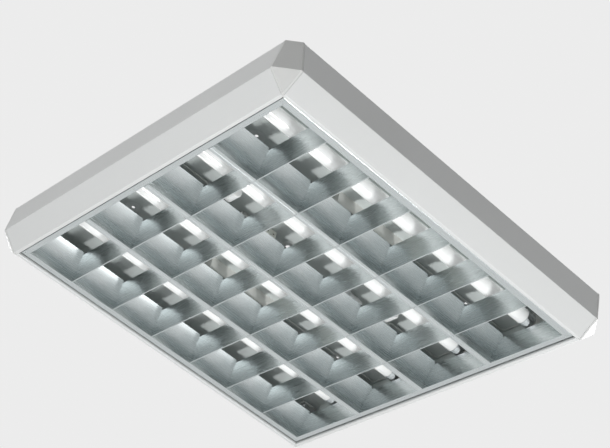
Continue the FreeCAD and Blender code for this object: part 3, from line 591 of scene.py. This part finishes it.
class RunInnerWires(bpy.types.Operator):
    """Runs the wires between the supply, the gear and the lampholders, below the tray."""

    bl_idname = "luminaire.inner_wires"
    bl_label = "Run the inner wires"

    def execute(self, context):
        width = settings().wire_width
        flat = TRAY_UNDER - width / 2
        inner, outer = LAMP_ROWS
        finish = moulded("wire_insulation", (0.66, 0.68, 0.67), 0.40, 900)
        wires = []
        for side in (-1, 1):
            wires.append(self.feed(side, -FEED_LANE, inner + HOLDER_SIDE, flat))
            wires.append(self.feed(side, FEED_LANE, outer - HOLDER_SIDE, flat))
            for end in (-1, 1):
                wires.append(self.starter_lead(end, side, inner - HOLDER_SIDE, flat))
            wires.append(self.supply(side, flat, RIB_UNDER - width / 2))
        for number, corners in enumerate(wires, 1):
            made = wire("inner_wire_%d" % number, corners, width)
            settle(made, "housing", finish, 60)
        return {"FINISHED"}

    def feed(self, side, lane, row, flat):
        """Corners of a wire from a ballast to a lampholder."""
        y = side * (BALLAST_ROW + lane)
        return [(BALLAST_END, y, GEAR_EXIT), (BALLAST_END + BALLAST_LEAD, y, GEAR_EXIT),
                (BALLAST_END + BALLAST_LEAD, y, flat), (HOLDER_PLANE, y, flat),
                (HOLDER_PLANE, side * row, flat)]

    def starter_lead(self, end, side, row, flat):
        """Corners of a wire from a starter holder to the nearest lampholder."""
        y = side * STARTER_LANE
        start = end * STARTER_END
        rise = start + end * STARTER_LEAD
        return [(start, y, GEAR_EXIT), (rise, y, GEAR_EXIT), (rise, y, flat),
                (end * HOLDER_PLANE, y, flat), (end * HOLDER_PLANE, side * row, flat)]

    def supply(self, side, flat, over_rib):
        """Corners of a wire from the terminal block to a ballast, which passes below a rib."""
        y = side * SUPPLY_LANE
        before, after = RIB_SPAN
        ballast = side * BALLAST_ROW
        return [(BLOCK_END, y, BLOCK_EXIT), (SUPPLY_TURN, y, BLOCK_EXIT),
                (SUPPLY_TURN, side * SUPPLY_LOW, flat - WIRE_CLEARANCE),
                (SUPPLY_TURN, side * before, over_rib), (SUPPLY_TURN, side * after, over_rib),
                (SUPPLY_TURN, ballast, GEAR_EXIT), (-BALLAST_END, ballast, GEAR_EXIT)]


class BuildStage(bpy.types.Operator):
    """Makes the floor, the even room light, the lamps that light the object, and the camera."""

    bl_idname = "luminaire.build_stage"
    bl_label = "Build the stage"

    def execute(self, context):
        self.make_floor()
        self.make_world()
        s = settings()
        self.make_light("key", (0.80, -1.15, -2.35), 0.34, s.key_power)
        self.make_light("left", (-2.1, -0.2, -1.2), 2.4, s.side_power)
        self.make_light("top", (0.0, 0.0, 2.4), 1.5, s.back_power)
        self.make_light("rear", (0.3, 2.5, 0.2), 1.4, s.back_power)
        self.make_light("far", (2.5, 0.3, 0.2), 1.4, s.back_power)
        self.make_camera()
        return {"FINISHED"}

    def make_floor(self):
        """Pale floor a room's height below."""
        fresh()
        bpy.ops.mesh.primitive_plane_add(size=90, location=(0, 0, -2.6))
        floor = bpy.context.object
        floor.name = "studio_floor"
        bpy.ops.object.transform_apply(location=True, rotation=True, scale=True)
        shader = Shader("floor_pale")
        cloud = shader.noise(1.5, 2)
        glow = (settings().floor_glow,) * 3
        floor.data.materials.append(shader.finish(
            Base_Color=shader.mix(cloud, (0.78, 0.78, 0.78), (0.76, 0.76, 0.76)),
            Roughness=0.9, Specular_IOR_Level=0.1,
            Emission_Color=shader.mix(seen_directly(shader), (0, 0, 0), glow),
            Emission_Strength=1.0))

    def make_world(self):
        """Even light all round, seen as a pale backdrop by the camera and by the metal."""
        world = bpy.data.worlds.new("room")
        bpy.context.scene.world = world
        world.use_nodes = True
        shader = Shader("room", world.node_tree)
        level = settings().room_level
        strength = level + seen_directly(shader) * (settings().backdrop_level - level)
        background = shader.node("ShaderNodeBackground", {},
                                 {"Color": (1, 1, 1), "Strength": strength})
        output = shader.tree.nodes.new("ShaderNodeOutputWorld")
        shader.tree.links.new(background.out, output.inputs["Surface"])

    def make_light(self, name, place, size, power):
        """Square soft light aimed at the louvre."""
        data = bpy.data.lights.new(name, "AREA")
        data.size = size
        data.energy = power
        light = bpy.data.objects.new(name, data)
        bpy.context.scene.collection.objects.link(light)
        light.location = place
        aim = Vector((0, 0, -0.04)) - Vector(place)
        light.rotation_euler = aim.to_track_quat("-Z", "Y").to_euler()

    def make_camera(self):
        """Camera below the near corner, looking up at the louvre."""
        data = bpy.data.cameras.new("camera")
        camera = bpy.data.objects.new("camera", data)
        bpy.context.scene.collection.objects.link(camera)
        camera.location = (-1.1214, -1.5862, -1.4694)
        camera.rotation_euler = (math.radians(129.128), math.radians(-11.270),
                                 math.radians(-44.140))
        data.sensor_fit = "HORIZONTAL"
        data.sensor_width = 36
        data.lens = 93.633
        data.clip_end = 60
        bpy.context.scene.camera = camera


class LuminairePanel(bpy.types.Panel):
    """Lists the luminaire's settings and steps."""

    bl_idname = "VIEW3D_PT_luminaire"
    bl_label = "Louvre luminaire"
    bl_space_type = "VIEW_3D"
    bl_region_type = "UI"
    bl_category = "Luminaire"

    def draw(self, context):
        for name in LuminaireSettings.__annotations__:
            self.layout.prop(context.scene.luminaire, name)
        for step in STEPS:
            self.layout.operator(step.bl_idname)


STEPS = (FinishNodes, FitBallastScrews, FitEarthTerminal, RunInnerWires, BuildStage)
CLASSES = (LuminaireSettings, *STEPS, LuminairePanel)


def register():
    """Adds the classes and the scene's settings."""
    for made in CLASSES:
        bpy.utils.register_class(made)
    bpy.types.Scene.luminaire = bpy.props.PointerProperty(type=LuminaireSettings)


def unregister():
    """Takes the settings and the classes away."""
    del bpy.types.Scene.luminaire
    for made in reversed(CLASSES):
        bpy.utils.unregister_class(made)


def main():
    """Adds the classes, sets the Standard view transform and runs every step in order."""
    register()
    bpy.context.scene.view_settings.view_transform = "Standard"
    bpy.ops.luminaire.finish_nodes()
    bpy.ops.luminaire.ballast_screws()
    bpy.ops.luminaire.earth_terminal()
    bpy.ops.luminaire.inner_wires()
    bpy.ops.luminaire.build_stage()


if __name__ == "__main__":
    main()
